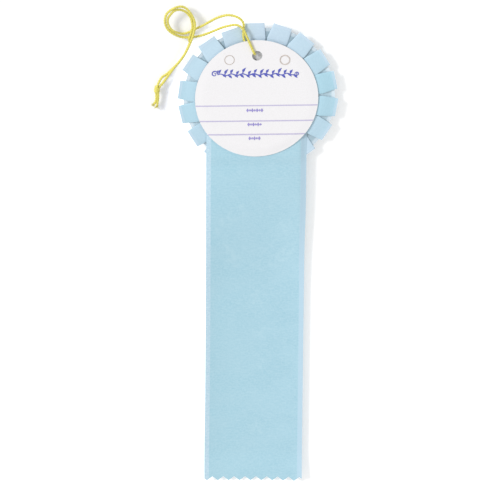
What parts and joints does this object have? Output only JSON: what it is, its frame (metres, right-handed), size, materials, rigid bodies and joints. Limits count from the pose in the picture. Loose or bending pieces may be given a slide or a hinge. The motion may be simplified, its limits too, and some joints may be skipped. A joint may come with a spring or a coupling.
{
  "type": "award ribbon",
  "caption": "Pleated satin award rosette with a pinked streamer, front button, round back card and string loop.",
  "frame": {"origin": "the rosette's axis on the surface that the award lies on, at the flat front face of its button", "axes": "+Z out of the award's back, towards the card; +Y to the rosette's top; the streamer runs along -Y"},
  "size_m": [0.0935, 0.261, 0.0089],
  "materials": {
    "streamer_satin": "light blue satin ribbon, soft sheen, pale selvages",
    "pleat_satin": "light blue satin ribbon, folded in box pleats",
    "card_stock": "uncoated white card with blue-violet print",
    "chipboard": "grey chipboard",
    "string": "yellow two-ply rayon cord",
    "tinplate": "pressed tinplate",
    "button_print": "printed paper disc",
    "clear_film": "clear polyester film",
    "foam_tape": "white double-sided foam tape",
    "staple_wire": "galvanised steel wire"
  },
  "bodies": {
    "rosette": {"button_film": "clear_film", "button_print": "button_print", "button_shell": "tinplate", "button_collet": "tinplate", "button_tape": "foam_tape", "backing_board": "chipboard", "spacer_board": "chipboard", "pleated_ruffle": "pleat_satin", "streamer_head": "streamer_satin", "staple_left": "staple_wire", "staple_right": "staple_wire", "card_tape_lower": "foam_tape", "card_tape_upper": "foam_tape", "back_card": "card_stock"},
    "streamer": {"streamer_tail": "streamer_satin"},
    "string": {"string_front": "string", "string_back": "string", "string_knot": "string", "string_tail_left": "string", "string_tail_right": "string"}
  },
  "joints": [
    {"name": "streamer_lift", "type": "hinge", "parent": "rosette", "child": "streamer", "pos_m": [-0.0006, -0.0345, 0.00615], "axis": [-1, 0, 0], "range_deg": [0, 120]},
    {"name": "string_swivel", "type": "hinge", "parent": "rosette", "child": "string", "pos_m": [-0.0007, 0.0229, 0.00705], "axis": [0, 0, -1], "range_deg": [0, 60]}
  ]
}
